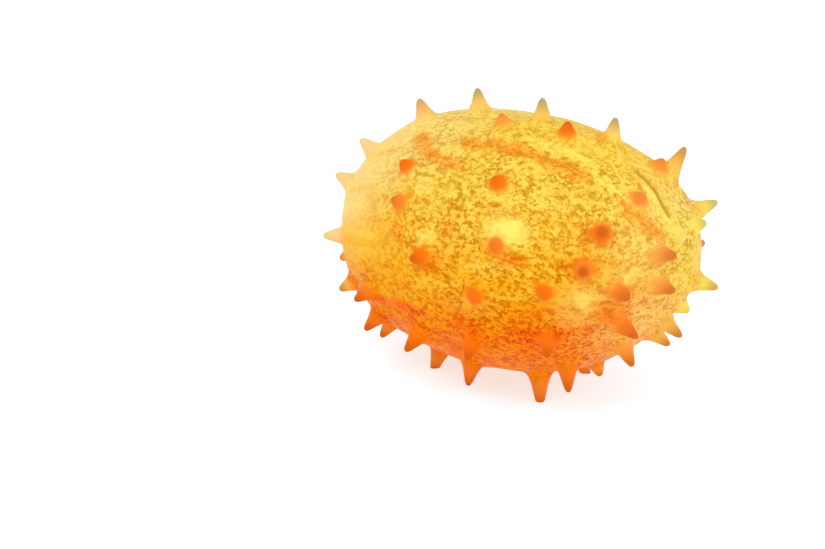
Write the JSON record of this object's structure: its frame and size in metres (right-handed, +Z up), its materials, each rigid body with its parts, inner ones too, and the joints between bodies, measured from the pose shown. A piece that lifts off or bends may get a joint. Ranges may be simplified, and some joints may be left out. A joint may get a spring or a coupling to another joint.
{
  "type": "horned melon",
  "caption": "Whole ripe horned melon lying on its side: an egg-shaped fruit with a tough orange-yellow rind and blunt conical horns, which it rests on.",
  "frame": {"origin": "on the surface that the fruit rests on, under the middle of its bounding box", "axes": "+X along the fruit towards the blossom end, -Y the side that the picture shows, +Z up"},
  "size_m": [0.1128, 0.0794, 0.0801],
  "materials": {
    "rind": "waxy"
  },
  "bodies": {
    "root": {"horned_melon": "rind"}
  },
  "joints": []
}
